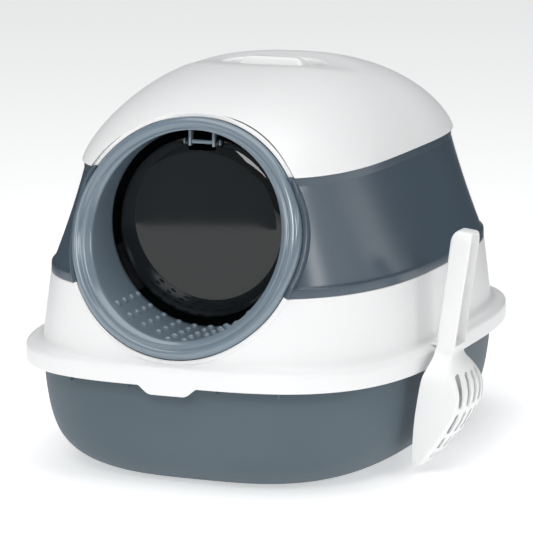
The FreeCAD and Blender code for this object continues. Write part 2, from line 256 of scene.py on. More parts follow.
# ---------------------------------------------------------------- materials
def material(name, color, rough, grain=900.0, grain_bump=0.05, shade=0.04, coat=0.0, coat_rough=0.1, spec=0.5,
             transmission=0.0, ior=1.5, wear=0.0):
    m = bpy.data.materials.new(name)
    m.use_nodes = True
    nt = m.node_tree
    nt.nodes.clear()
    out = nt.nodes.new("ShaderNodeOutputMaterial")
    b = nt.nodes.new("ShaderNodeBsdfPrincipled")
    nt.links.new(b.outputs["BSDF"], out.inputs["Surface"])
    b.inputs["Specular IOR Level"].default_value = spec
    b.inputs["IOR"].default_value = ior
    b.inputs["Coat Weight"].default_value = coat
    b.inputs["Coat Roughness"].default_value = coat_rough
    b.inputs["Transmission Weight"].default_value = transmission
    co = nt.nodes.new("ShaderNodeTexCoord")
    # slow flow of tone through the moulding
    big = nt.nodes.new("ShaderNodeTexNoise")
    big.inputs["Scale"].default_value = 7.0
    big.inputs["Detail"].default_value = 3.0
    nt.links.new(co.outputs["Object"], big.inputs["Vector"])
    ramp = nt.nodes.new("ShaderNodeValToRGB")
    ramp.color_ramp.interpolation = "EASE"
    ramp.color_ramp.elements[0].position = 0.15
    ramp.color_ramp.elements[1].position = 0.85
    ramp.color_ramp.elements[0].color = tuple(c * (1.0 - shade) for c in color) + (1.0,)
    ramp.color_ramp.elements[1].color = tuple(min(1.0, c * (1.0 + shade)) for c in color) + (1.0,)
    nt.links.new(big.outputs["Fac"], ramp.inputs["Fac"])
    nt.links.new(ramp.outputs["Color"], b.inputs["Base Color"])
    # fine grain of the mould's surface
    fine = nt.nodes.new("ShaderNodeTexNoise")
    fine.inputs["Scale"].default_value = grain
    fine.inputs["Detail"].default_value = 2.0
    nt.links.new(co.outputs["Object"], fine.inputs["Vector"])
    rr = nt.nodes.new("ShaderNodeMapRange")
    rr.inputs["To Min"].default_value = max(0.0, rough - 0.05)
    rr.inputs["To Max"].default_value = rough + 0.05
    nt.links.new(big.outputs["Fac"], rr.inputs["Value"])
    nt.links.new(rr.outputs["Result"], b.inputs["Roughness"])
    bump = nt.nodes.new("ShaderNodeBump")
    bump.inputs["Strength"].default_value = grain_bump
    bump.inputs["Distance"].default_value = 0.0002
    nt.links.new(fine.outputs["Fac"], bump.inputs["Height"])
    nt.links.new(bump.outputs["Normal"], b.inputs["Normal"])
    return m


MAT = {
    "tub_grey": material("tub_grey", (0.108, 0.141, 0.165), 0.50, grain=1100, grain_bump=0.10, shade=0.05, spec=0.14),
    "shell_white": material("shell_white", (0.88, 0.88, 0.88), 0.36, grain=1200, grain_bump=0.05, shade=0.012),
    "band_grey": material("band_grey", (0.053, 0.081, 0.110), 0.30, grain=1200, grain_bump=0.03, shade=0.05, spec=0.85),
    "entry_grey": material("entry_grey", (0.172, 0.226, 0.272), 0.18, grain=1200, grain_bump=0.03, shade=0.04, spec=1.0),
    "smoked_clear": material("smoked_clear", (0.010, 0.012, 0.013), 0.03, grain=300, grain_bump=0.0, shade=0.06,
                             transmission=0.25, ior=1.49),
    "scoop_white": material("scoop_white", (0.89, 0.89, 0.885), 0.36, grain=1200, grain_bump=0.05, shade=0.012),
}


def dress(ob, slot, body, *nodes):
    ob.data.materials.clear()
    ob.data.materials.append(MAT[slot])
    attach(ob, body)
    if nodes:
        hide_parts(*nodes)
    return ob


# ---------------------------------------------------------------- tub
tub_prof = [(0.0, 72.0), (0.8, 65.0), (2.2, 59.0), (4.5, 52.0), (8.0, 44.0), (13.0, 35.0), (20.0, 26.0), (28.0, 19.0),
            (37.0, 13.5), (48.0, 9.3), (62.0, 5.7), (84.0, 2.4), (111.0, 0.0)]


def catmull(pts, sub):
    out = []
    for i in range(len(pts) - 1):
        p0, p1, p2, p3 = pts[max(i - 1, 0)], pts[i], pts[i + 1], pts[min(i + 2, len(pts) - 1)]
        for j in range(sub):
            t = j / sub
            out.append(tuple(0.5 * ((2 * b) + (c - a) * t + (2 * a - 5 * b + 4 * c - d) * t * t
                                    + (3 * b - a - 3 * c + d) * t ** 3) for a, b, c, d in zip(p0, p1, p2, p3)))
    out.append(tuple(pts[-1]))
    return out


def tub_sec(z, inset):
    return (TUB_A - inset, TUB_B - inset, TUB_N, z)


ts = angles(320)
curve = catmull(tub_prof, 4)
flat = [tub_sec(0.0, 72.0)]
outer_floor = [(flat[0][0] * s, flat[0][1] * s, 2.0 + 1.25 * s, 0.0) for s in (0.15, 0.35, 0.55, 0.75, 0.9)]
inner_curve = [(z + lerp(3.0, 0.4, smooth(z / 45.0)), i + 3.0) for z, i in curve]
secs = list(outer_floor) + [tub_sec(z, i) for z, i in curve]
lip = profile([((198.0, 263.5, 3.25, 111.0), 0), ((198.8, 264.3, 3.25, 123.0), 2.2), ((203.5, 276.3, 3.4, 123.0), 0.9),
               ((203.6, 276.4, 3.4, 126.5), 1.2), ((196.2, 261.7, 3.25, 126.5), 1.4), ((195.2, 260.7, 3.25, 112.0), 0)],
              k=5, step=5.0)
secs += lip[1:]
secs += [tub_sec(z, i) for z, i in reversed(inner_curve[:-1])]
secs += [(s[0] - 3.0, s[1] - 3.0, s[2], 3.0) for s in reversed(outer_floor)]
rings = section_rings(secs, ts)
tub = make_object("tub_shell", *from_rings(rings, cap0=(0, 0, 0.0), cap1=(0, 0, 3.0)))
# small ribs under the flange
ribs = [tub]
for x in (-46.0, 46.0, -110.0, 110.0):
    for s in (-1.0, 1.0):
        yy = TUB_B - 1.0 if abs(x) < 60 else TUB_B - 6.0
        y0, y1 = sorted((s * (yy - 1.0), s * (yy + 8.0)))
        ribs.append(rounded_box("rib", (x - 1.2, y0, 105.2), (x + 1.2, y1, 123.6), 0.4, 2))
tub = join_meshes("tub_shell", ribs)
dress(tub, "tub_grey", "tray", "base_tray")

# ---------------------------------------------------------------- hood skirt
ts = angles(320, dense=(1.5 * math.pi, 0.16, 100))
sk = profile([
    ((210.0, 281.2, 3.4, 111.2), 1.0), ((210.0, 281.2, 3.4, 130.2), 5.4), ((196.0, 268.0, 3.3, 131.0), 7.0),
    ((191.5, 264.5, 3.0, 199.2), 0.7), ((188.5, 261.5, 3.0, 199.2), 0.7), ((193.0, 265.0, 3.3, 127.0), 2.0),
    ((206.4, 277.6, 3.4, 126.9), 1.5), ((207.0, 278.2, 3.4, 111.2), 1.0)], closed=True, k=7, step=6.0)
rings = section_rings(sk, ts)


def tongue(x, y):
    """How far the front edge drops to make the tongue."""
    if y > 0:
        return 0.0
    s = (30.2 - abs(x)) / 10.5
    if s <= 0:
        return 0.0
    k = 0.35
    h = max(0.0, min(1.0, 0.5 + 0.5 * (1.0 - s) / k))
    return 8.6 * max(0.0, lerp(1.0, s, h) - k * h * (1.0 - h))


for j, ring in enumerate(rings):
    z = sk[j][3]
    w = 1.0 - smooth((z - 112.2) / 3.5)
    if w > 0 and sk[j][0] > 200:
        rings[j] = [(x, y, zz - w * tongue(x, y)) for x, y, zz in ring]
skirt = make_object("skirt_shell", *from_rings(rings, loop=True))

# ---------------------------------------------------------------- hood band
ts = angles(340)
bo = [((191.5, 264.5, 3.0, 199.35), 0.8), ((191.1, 264.1, 3.0, 208.4), 2.6), ((188.5, 261.8, 3.0, 209.6), 1.8)]
for i in range(1, 12):
    t = i / 12.0
    sag = 1.6 * 4 * t * (1 - t)
    bo.append(((lerp(188.5, 150.6, t) - sag, lerp(261.8, 238.9, t) - sag, lerp(3.0, 3.5, t), lerp(209.6, 302.0, t)), 0))
bo += [((150.6, 238.9, 3.5, 302.0), 1.6), ((150.1, 238.4, 3.5, 303.6), 1.0), ((150.1, 238.4, 3.5, 313.0), 0.5)]
bi = [((147.1, 235.4, 3.5, 313.0), 0.5), ((147.1, 235.4, 3.5, 303.0), 1.0)]
for i in range(11, 0, -1):
    t = i / 12.0
    sag = 1.6 * 4 * t * (1 - t)
    bi.append(((lerp(188.5, 150.6, t) - sag - 3.0, lerp(261.8, 238.9, t) - sag - 3.0, lerp(3.0, 3.5, t), lerp(209.6, 302.0, t)), 0))
bi += [((184.4, 258.0, 3.0, 208.0), 1.0), ((184.4, 258.0, 3.0, 190.0), 0.6), ((187.6, 260.6, 3.05, 190.0), 0.6),
       ((187.6, 260.8, 3.0, 199.35), 0.3)]
bd = profile(bo + bi, closed=True, k=6, step=6.0)
band = make_object("band_shell", *from_rings(section_rings(bd, ts), loop=True))


# ---------------------------------------------------------------- hood crown
def crown_sec(t, d=0.0, dz=0.0):
    g = max(1e-9, 1.0 - t ** 1.5)
    return ((151.6 - d) * g ** (1 / 3.03), (239.9 - d) * g ** (1 / 2.2), lerp(3.56, 2.1, t), lerp(BAND_Z1, TOP_Z - dz, t))


def crown_height(x, y, d=0.0, dz=0.0):
    lo, hi = 0.0, 1.0
    for _ in range(44):
        mid = 0.5 * (lo + hi)
        a, b, n, z = crown_sec(mid, d, dz)
        if (abs(x) / a) ** n + (abs(y) / b) ** n < 1.0:
            lo = mid
        else:
            hi = mid
    return lerp(BAND_Z1, TOP_Z - dz, lo)


def hollow(x, y):
    """The crown sinks a little towards the dish."""
    q = math.hypot(x / DISH_A, y / DISH_B)
    if q < 1e-6:
        return 5.5
    away = math.hypot(x, y) * (1.0 - 1.0 / q)
    return 5.5 * (1.0 - smooth(away / 40.0))


ts = angles(340)
T0 = 0.80
bot = profile([((148.6, 236.9, 3.56, 316.0), 0), ((148.6, 236.9, 3.56, 311.9), 0.9), ((151.6, 239.9, 3.56, 311.9), 1.3),
               (crown_sec(0.035), 0)], k=5, step=4.0)
outer = section_rings(bot[1:], ts)
tt = [0.035 + (T0 - 0.035) * (i / 30.0) for i in range(1, 31)]
outer += section_rings([crown_sec(t) for t in tt], ts)
a0, b0, n0, z0 = crown_sec(T0)
plan0 = [se_xy(a0, b0, n0, t) for t in ts]
plan1 = [(DISH_A * math.cos(math.atan2(y / DISH_B, x / DISH_A)), DISH_B * math.sin(math.atan2(y / DISH_B, x / DISH_A)))
         for x, y in plan0]
for j in range(1, 17):
    lam = (j / 16.0)
    ring = []
    for p, q in zip(plan0, plan1):
        qx, qy = q[0] * 1.06, q[1] * 1.09
        x, y = lerp(p[0], qx, lam), lerp(p[1], qy, lam)
        ring.append((x, y, crown_height(x, y) - hollow(x, y)))
    outer.append(ring)
rim = outer[-1]
# over the rounded edge, down the wall and onto the dish's floor
for s, dz in ((1.045, 0.25), (1.03, 0.7), (1.015, 1.5), (1.004, 2.6), (1.0, 4.0)):
    outer.append([(q[0] * s, q[1] * (1 + (s - 1) * 1.5), r[2] - dz) for q, r in zip(plan1, rim)])
for lam in (0.2, 0.4, 0.6, 0.8):
    outer.append([(q[0] * (1 - 0.012 * lam), q[1] * (1 - 0.02 * lam), lerp(r[2], DISH_Z + 6.0, lam)) for q, r in zip(plan1, outer[-1] if lam == 0.2 else base)])
    if lam == 0.2:
        base = outer[-2]
for i in range(0, 7):
    u = i / 6.0 * math.pi / 2
    ins, up = 6.0 * (1 - math.cos(u)), 6.0 * (1 - math.sin(u))
    outer.append([(q[0] * (0.985 - ins / DISH_A), q[1] * (0.98 - ins / DISH_B), DISH_Z + up) for q in plan1])
for s in (0.7, 0.45, 0.2):
    outer.append([(q[0] * s, q[1] * s * 0.95, DISH_Z) for q in plan1])
# inside of the shell, then the underside of the dish
inner = section_rings([(148.6, 236.9, 3.56, 314.5)] + [crown_sec(t, 3.0, 3.0) for t in [0.04] + tt], ts)
ai, bi_, ni, zi = crown_sec(T0, 3.0, 3.0)
pin0 = [se_xy(ai, bi_, ni, t) for t in ts]
for j in range(1, 10):
    lam = j / 9.0
    ring = []
    for p, q in zip(pin0, plan1):
        qx, qy = q[0] * 1.10, q[1] * 1.15
        x, y = lerp(p[0], qx, lam), lerp(p[1], qy, lam)
        ring.append((x, y, crown_height(x, y, 3.0, 3.0) - hollow(x, y)))
    inner.append(ring)
last = inner[-1]
for lam in (0.3, 0.6, 0.9):
    inner.append([(q[0] * 1.055, q[1] * 1.085, lerp(r[2], DISH_Z, lam)) for q, r in zip(plan1, last)])
inner.append([(q[0] * 1.03, q[1] * 1.05, DISH_Z - 1.6) for q in plan1])
inner.append([(q[0] * 0.98, q[1] * 0.97, DISH_Z - 2.6) for q in plan1])
for s in (0.7, 0.4, 0.2):
    inner.append([(q[0] * s, q[1] * s * 0.95, DISH_Z - 2.6) for q in plan1])
rings = list(reversed(inner)) + outer
crown = make_object("crown_shell", *from_rings(rings, cap0=(0, 0, DISH_Z - 2.6), cap1=(0, 0, DISH_Z)))


# ---------------------------------------------------------------- hole for the entry
def axis_cylinder(name, r, w0, w1, side=0.0, count=360):
    rings = [[ring_point(r, w, 2 * math.pi * i / count) for i in range(count)] for w in (w0, lerp(w0, w1, 0.5), w1)]
    rings = [[(x + side, y, z) for x, y, z in q] for q in rings]
    return make_object(name, *from_rings(rings, cap0=tuple(RC + AX * w0), cap1=tuple(RC + AX * w1)))


for shell, r, side in ((skirt, HOLE_R, 0.0), (band, HOLE_R, 0.0), (crown, 124.95, 0.55)):
    boolean(shell, axis_cylinder("hole", r, -130.0, 70.0, side))


# collar: a low wall round the entry that stands on each shell
def shell_front(x, z):
    """y of the hood's outer face at the front, at a width and height."""
    if z >= BAND_Z1:
        a, b, n, _ = crown_sec(min(0.999, (z - BAND_Z1) / (TOP_Z - BAND_Z1)))
    elif z >= 209.6:
        t = (z - 209.6) / (302.0 - 209.6)
        t = min(1.0, t)
        sag = 1.6 * 4 * t * (1 - t)
        a, b, n = lerp(188.5, 150.6, t) - sag, lerp(261.8, 238.9, t) - sag, lerp(3.0, 3.5, t)
    elif z >= BAND_Z0:
        a, b, n = 191.3, 264.3, 3.0
    else:
        t = max(0.0, (z - 138.0) / (BAND_Z0 - 138.0))
        a, b, n = lerp(196.0, 191.5, t), lerp(268.0, 264.5, t), lerp(3.3, 3.0, t)
    q = 1.0 - (abs(x) / a) ** n
    return -b * max(1e-6, q) ** (1.0 / n)


def surface_w(r, phi):
    """Where the ring's axis direction meets the hood's outer face."""
    w = 12.0
    while w > -60.0:
        x, y, z = ring_point(r, w, phi)
        if y > shell_front(x, z):
            break
        w -= 0.25
    return w


COLLAR_IN, COLLAR_OUT, COLLAR_W = 119.9, 124.2, -5.2


def collar(name, f0, f1, count):
    rings = []
    for i in range(count + 1):
        phi = math.radians(lerp(f0, f1, i / count))
        wo, wi = surface_w(COLLAR_OUT + 0.5, phi), surface_w(COLLAR_IN, phi)
        front = min(COLLAR_W, max(wo, wi) + 6.0)
        back = min(wo, wi, front - 1.5) - 2.6
        loop = profile([((COLLAR_IN, back), 0.3), ((COLLAR_IN, front), 0.5), ((COLLAR_OUT, front), 1.3),
                        ((COLLAR_OUT, back), 0.3)], closed=True, k=4, step=400.0)
        rings.append([ring_point(r, w, phi) for r, w in loop])
    n = len(rings[0])
    verts, faces = from_rings(rings)
    faces.append(tuple(range(n)))
    faces.append(tuple(len(verts) - n + i for i in reversed(range(n))))
    return make_object(name, verts, faces)


dress(collar("crown_collar", 31.5, 148.5, 150), "shell_white", "hood")
dress(collar("band_collar_right", -24.6, 31.2, 80), "band_grey", "hood")
dress(collar("band_collar_left", 148.8, 204.6, 80), "band_grey", "hood")
dress(collar("skirt_collar", 204.9, 335.1, 160), "shell_white", "hood")

dress(skirt, "shell_white", "hood", "hood_skirt")
dress(band, "band_grey", "hood", "hood_band")
dress(crown, "shell_white", "hood", "hood_crown")

# ---------------------------------------------------------------- carry handle
pts = []


def arc(cx, cz, r, a0, a1, n):
    for i in range(n + 1):
        a = math.radians(lerp(a0, a1, i / n))
        pts.append((cx + r * math.cos(a), cz + r * math.sin(a)))


GX, GZ, GT = 36.0, 400.6, 10.5
pts.append((GX, DISH_Z))
arc(GX - 13.0, GZ - 13.0, 13.0, 0, 90, 14)
arc(-GX + 13.0, GZ - 13.0, 13.0, 90, 180, 14)
pts.append((-GX, DISH_Z))
pts.append((-GX + 8.0, DISH_Z))
arc(-GX + 16.0, GZ - GT - 8.0, 8.0, 180, 90, 10)
arc(GX - 16.0, GZ - GT - 8.0, 8.0, 90, 0, 10)
pts.append((GX - 8.0, DISH_Z))
half = [(-8.5, 2.8), (-8.2, 1.5), (-7.4, 0.55), (-6.2, 0.1), (-5.4, 0.0), (5.4, 0.0), (6.2, 0.1), (7.4, 0.55), (8.2, 1.5), (8.5, 2.8)]


def inset(poly, d):
    out = []
    n = len(poly)
    for i in range(n):
        p, a, b = Vector(poly[i]), Vector(poly[i - 1]), Vector(poly[(i + 1) % n])
        e = (b - a).normalized()
        nrm = Vector((-e.y, e.x))
        u, v = (p - a).normalized(), (b - p).normalized()
        k = max(0.35, math.sqrt(max(0.0, 0.5 * (1 + u.dot(v)))))
        out.append(tuple(p + nrm * (d / k)))
    return out


rings = []
for y, d in half:
    q = inset(pts, d) if d > 0 else pts
    # the bar narrows upwards, so its long sides face up a little
    rings.append([(x, y * lerp(1.32, 0.62, min(1.0, max(0.0, (z - GZ + GT) / GT))), max(z, DISH_Z - 0.4)) for x, z in q])
n = len(pts)
verts, faces = from_rings(rings)
faces.append(tuple(range(n)))
faces.append(tuple(len(verts) - n + i for i in reversed(range(n))))
grip = make_object("grip_bar", verts, faces)
dress(grip, "shell_white", "hood", "carry_handle")

# ---------------------------------------------------------------- entry ring and tunnel
lip_line = catmull([(119.3, -9.0), (119.1, -6.2), (118.4, -3.7), (117.1, -1.8), (115.2, -0.5), (113.2, 0.0), (111.5, -0.5), (110.1, -1.8),
                    (109.0, -3.1), (108.0, -3.3), (106.7, -2.7), (105.2, -2.7), (103.7, -3.6), (102.0, -5.0), (99.4, -7.1), (95.5, -10.6)], 5)


def slope_w(r):
    for p, q in zip(lip_line[:-1], lip_line[1:]):
        if q[0] <= r <= p[0]:
            return lerp(p[1], q[1], (p[0] - r) / max(1e-6, p[0] - q[0]))
    return lip_line[-1][1]


COUNT = 384
cols = []
for i in range(COUNT):
    psi = 2 * math.pi * i / COUNT
    x, z = TUBE_R * math.cos(psi), TUBE_Z + TUBE_R * math.sin(psi)
    w = -6.0
    for _ in range(30):
        y = RC.y + ((z - RC.z) * math.sin(LEAN) - w) / math.cos(LEAN)
        p = Vector((x, y, z)) - RC
        rho = math.hypot(p.x, p.dot(UP))
        w = slope_w(rho)
    phi = math.atan2(p.dot(UP), p.x)
    col = [ring_point(116.2, -30.0, phi), ring_point(118.7, -30.0, phi), ring_point(119.2, -29.4, phi),
           ring_point(119.3, -20.0, phi), ring_point(119.3, -12.0, phi)]
    # equal number of points on each line, whatever the width of the lip
    m = 60
    for j in range(m + 1):
        r = lerp(119.3, rho + 1.4, (j / m) ** 1.35)
        if j == 0:
            col.append(ring_point(119.3, -9.0, phi))
        else:
            col.append(ring_point(r, slope_w(r), phi))
    s0 = Vector(col[-1])
    c0 = Vector((x, y, z))
    e0 = Vector((x, y + 2.2, z))
    for j in range(1, 6):
        t = j / 5.0
        col.append(tuple(s0 * (1 - t) ** 2 + c0 * 2 * t * (1 - t) + e0 * t * t))
    for j in range(1, 13):
        col.append((x, lerp(e0.y, TUBE_END - 0.5, j / 12.0), z))
    ro = TUBE_RO
    col.append((x * (TUBE_R + 0.5) / TUBE_R, TUBE_END, TUBE_Z + (z - TUBE_Z) * (TUBE_R + 0.5) / TUBE_R))
    col.append((x * (ro - 0.5) / TUBE_R, TUBE_END, TUBE_Z + (z - TUBE_Z) * (ro - 0.5) / TUBE_R))
    col.append((x * ro / TUBE_R, TUBE_END - 0.5, TUBE_Z + (z - TUBE_Z) * ro / TUBE_R))
    yb = RC.y + ((z - RC.z) * math.sin(LEAN) + 12.0) / math.cos(LEAN)
    yb = min(yb, TUBE_END - 8.0)
    for j in range(1, 5):
        col.append((x * ro / TUBE_R, lerp(TUBE_END - 0.5, yb, j / 4.0), TUBE_Z + (z - TUBE_Z) * ro / TUBE_R))
    col.append(ring_point(112.0, -12.5, phi))
    col.append(ring_point(114.0, -13.2, phi))
    col.append(ring_point(116.0, -16.0, phi))
    cols.append(col)
n = len(cols[0])
m = len(cols)
# the lines run round the ring's axis, so each face joins two neighbouring lines
verts = [p for c in cols for p in c]
faces = []
for j in range(m):
    a, b = j * n, ((j + 1) % m) * n
    for i in range(n):
        k = (i + 1) % n
        faces.append((a + i, b + i, b + k, a + k))
ring = make_object("entry_ring", verts, faces, sharp=50.0)

parts = [ring]
for s in (-1.0, 1.0):
    x0, x1 = sorted((s * 11.2, s * 13.8))
    parts.append(rounded_box("post", (x0, DOOR_Y - 4.0, PIN_Z - 4.0), (x1, TUBE_END - 0.1, TUBE_Z + 99.0), 0.5, 3))
ring = join_meshes("entry_ring", parts, sharp=50.0)
dress(ring, "entry_grey", "hood", "entry_tunnel")

# raised ovals that give the cat a foothold on the tunnel's floor
bm = bmesh.new()
rows = (-256.5, -239.5, -222.5, -205.5, -190.0)
for c in range(10):
    psi = math.radians(-134.3 + c * 9.844)
    rad = Vector((math.cos(psi), 0, math.sin(psi)))
    tan = Vector((-math.sin(psi), 0, math.cos(psi)))
    z = TUBE_Z + TUBE_R * math.sin(psi)
    front = RC.y + ((z - RC.z) * math.sin(LEAN) + 6.5) / math.cos(LEAN) + 6.0
    for y in rows:
        if y < front:
            continue
        base = Vector((0, y, TUBE_Z)) + rad * TUBE_R
        geo = bmesh.ops.create_uvsphere(bm, u_segments=24, v_segments=12, radius=1.0)
        for v in geo["verts"]:
            q = v.co
            v.co = (base + tan * q.x * 3.7 + Vector((0, 1, 0)) * q.y * 3.1 - rad * (q.z * 2.4)) * MM
me = bpy.data.meshes.new("entry_studs")
bmesh.ops.recalc_face_normals(bm, faces=bm.faces)
bm.to_mesh(me)
bm.free()
studs = bpy.data.objects.new("entry_studs", me)
scene.collection.objects.link(studs)
finish_shade(studs, 60.0)
dress(studs, "entry_grey", "hood")

# ---------------------------------------------------------------- door
front = [(0.0, 0.0), (20.0, 0.0), (40.0, 0.0), (58.0, -0.03), (66.0, -0.12), (72.0, -0.4), (77.0, -1.0), (81.0, -1.9), (84.5, -3.1),
         (87.2, -4.4), (89.0, -5.5), (90.0, -6.5), (90.2, -7.2), (89.8, -7.9), (88.8, -8.0), (87.0, -7.2), (84.0, -5.9), (80.0, -4.6),
         (76.0, -3.9), (70.0, -3.3), (60.0, -3.05), (40.0, -3.0), (20.0, -3.0), (0.0, -3.0)]
line = catmull(front, 2)
yf = DOOR_Y - 1.5 - 2.0
rings = []
for r, w in line[1:-1]:
    rings.append([(r * math.cos(2 * math.pi * i / 240), yf - w, TUBE_Z + r * math.sin(2 * math.pi * i / 240)) for i in range(240)])
flap = make_object("flap_disc", *from_rings(rings, cap0=(0, yf, TUBE_Z), cap1=(0, yf + 3.0, TUBE_Z)))
boolean(flap, rounded_box("notch", (-14.4, DOOR_Y - 20, PIN_Z - 8.2), (14.4, DOOR_Y + 20, PIN_Z + 40), 1.5, 3))
for s in (-1.0, 1.0):
    x0, x1 = sorted((s * 17.8, s * 20.9))
    boolean(flap, rounded_box("room", (x0, DOOR_Y - 20, PIN_Z - 4.2), (x1, DOOR_Y + 20, PIN_Z + 40), 0.6, 2))
# the pin turns freely in a bore through the knuckles and the door's edge
boolean(flap, cylinder_x("bore", 2.15, -30.0, 30.0, DOOR_Y, PIN_Z, 0.1))
knuckles = [flap]
for s in (-1.0, 1.0):
    x0, x1 = sorted((s * 14.4, s * 17.8))
    eye = cylinder_x("knuckle", 4.0, x0, x1, DOOR_Y, PIN_Z, 0.7)
    boolean(eye, cylinder_x("bore", 2.15, x0 - 3.0, x1 + 3.0, DOOR_Y, PIN_Z, 0.1))
    knuckles.append(eye)
flap = join_meshes("flap_disc", knuckles)
dress(flap, "smoked_clear", "door", "door_flap")

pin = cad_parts["door_pin"]
pin.data.materials.clear()
pin.data.materials.append(MAT["entry_grey"])
pin.data.shade_smooth()

# ---------------------------------------------------------------- scoop
# own frame: +z along the handle, +x away from the box, neck at z = 0
# blade stations: z, lip x, where the side wall ends, floor's middle x, half width
blade = [(0.0, -9.5, 8.0, 9.6, 17.5), (-4.0, -9.5, 8.0, 10.6, 18.0), (-9.0, -9.5, 8.2, 14.0, 22.0),
         (-14.0, -9.8, 8.8, 19.6, 29.0), (-19.0, -10.6, 11.0, 24.2, 35.0), (-26.0, -12.3, 17.0, 28.8, 39.0),
         (-36.0, -13.0, 23.2, 31.6, 41.0), (-46.0, -13.3, 25.6, 31.9, 41.5), (-56.0, -13.6, 24.6, 30.4, 41.3),
         (-66.0, -14.0, 20.9, 27.6, 40.4), (-77.0, -14.4, 15.4, 23.0, 38.3), (-88.0, -15.0, 9.2, 17.6, 34.6),
         (-98.0, -15.7, 3.0, 11.6, 30.0), (-107.0, -16.5, -3.0, 5.0, 25.0), (-115.0, -17.3, -8.4, -1.6, 19.4),
         (-122.0, -18.1, -13.2, -8.6, 13.0), (-126.2, -18.7, -16.0, -13.4, 8.0), (-128.6, -19.1, -17.8, -16.8, 3.2)]
dense = catmull(blade, 6)
SW = 2.2


def u_line(x0, xr, x1, w, count=56):
    """From one lip along the side wall, round the bulging floor, to the other lip."""
    out = [(lerp(x0, xr, smooth_end(j / 12.0)), w) for j in range(12)]
    for i in range(count + 1):
        t = math.pi / 2 - math.pi * i / count
        out.append((xr + (x1 - xr) * math.cos(t), w * math.sin(t)))
    out += [(lerp(xr, x0, 1.0 - smooth_end(1.0 - j / 12.0)), -w) for j in range(1, 13)]
    return out


def smooth_end(t):
    return 1.0 - (1.0 - t) ** 1.5


rows_o = [[(x, y, z) for x, y in u_line(x0, xr, x1, w)] for z, x0, xr, x1, w in dense]
rows_i = []
for z, x0, xr, x1, w in dense:
    th = min(SW, max(0.5, (x1 - x0) * 0.4))
    tw = min(SW, w * 0.5)
    rows_i.append([(x, y, z) for x, y in u_line(x0, max(x0 + 0.3, xr - 0.3 * th), max(x0 + 0.6, x1 - th), w - tw)])
n = len(rows_o[0])
verts = [p for r in rows_o for p in r] + [p for r in rows_i for p in r]
off = len(rows_o) * n
faces = []
m = len(rows_o)
for j in range(m - 1):
    for i in range(n - 1):
        a, b, c, d = j * n + i, j * n + i + 1, (j + 1) * n + i + 1, (j + 1) * n + i
        faces.append((a, b, c, d))
        faces.append((off + d, off + c, off + b, off + a))
    for i, flip in ((0, False), (n - 1, True)):
        q = (j * n + i, (j + 1) * n + i, off + (j + 1) * n + i, off + j * n + i)
        faces.append(tuple(reversed(q)) if flip else q)
for j in (0, m - 1):
    for i in range(n - 1):
        q = (j * n + i, j * n + i + 1, off + j * n + i + 1, off + j * n + i)
        faces.append(q if j else tuple(reversed(q)))
bowl = make_object("bowl", verts, faces)


def half_width(z):
    for p, q in zip(dense[:-1], dense[1:]):
        if q[0] <= z <= p[0]:
            return lerp(p[4], q[4], (p[0] - z) / max(1e-6, p[0] - q[0]))
    return dense[-1][4]


# slots through the floor: rows that close in towards the tip
slots = []
for z1, z0, wd, x_in in ((-18.5, -52.0, 4.2, 2.0), (-56.5, -80.0, 3.9, -2.0), (-84.0, -99.0, 3.1, -10.0), (-103.0, -112.5, 2.2, -15.0)):
    for k in (-2, -1, 0, 1, 2):
        left, right_ = [], []
        steps = 16
        for i in range(steps + 1):
            t = i / steps
            z = lerp(z1, z0, t)
            e = min(z1 - z, z - z0)
            hw = wd if e > wd else math.sqrt(max(0.0, wd * wd - (wd - e) ** 2))
            hw = max(hw, 0.25)
            yc = k * (half_width(z) - 8.2) / 2.0
            left.append((yc - hw, z))
            right_.append((yc + hw, z))
        ring2 = left + right_[::-1]
        rr = [[(x, p[0], p[1]) for p in ring2] for x in (x_in, 60.0)]
        c = len(ring2)
        v, f = from_rings(rr)
        f.append(tuple(range(c)))
        f.append(tuple(2 * c - 1 - i for i in range(c)))
        slots.append(make_object("slot", v, f))
boolean(bowl, join_meshes("slots", slots), sharp=32.0)

HL = 120.0


def box_line(x0, x1, w, r, k=6):
    out = []
    for cx, cy, a0 in ((x1 - r, w - r, 0), (x0 + r, w - r, 90), (x0 + r, -w + r, 180), (x1 - r, -w + r, 270)):
        for i in range(k + 1):
            a = math.radians(a0 + 90.0 * i / k)
            out.append((cx + r * math.cos(a), cy + r * math.sin(a)))
    return out


hs = [(-3.0, -9.5, 9.5, 17.5, 2.2), (30.0, -9.7, 9.7, 17.0, 2.2), (60.0, -10.0, 10.0, 16.3, 2.2), (HL - 16, -10.5, 10.5, 15.2, 2.2)]
for i in range(1, 13):
    u = math.radians(90.0 * i / 12)
    dz = 12.0 * math.sin(u)
    ins = 9.0 * (1.0 - math.cos(u))
    hs.append((HL - 13 + dz, -10.5 + ins * 0.75, 10.5 - ins * 0.16, 15.2 - ins * 0.9, 2.2))
rings = [[(x, y, z) for x, y in box_line(*q[1:])] for q in hs for z in (q[0],)]
top = hs[-1]
hand = make_object("hand", *from_rings(rings, cap0=(0, 0, -3.0), cap1=(0.5 * (top[1] + top[2]), 0, top[0] + 0.3)))
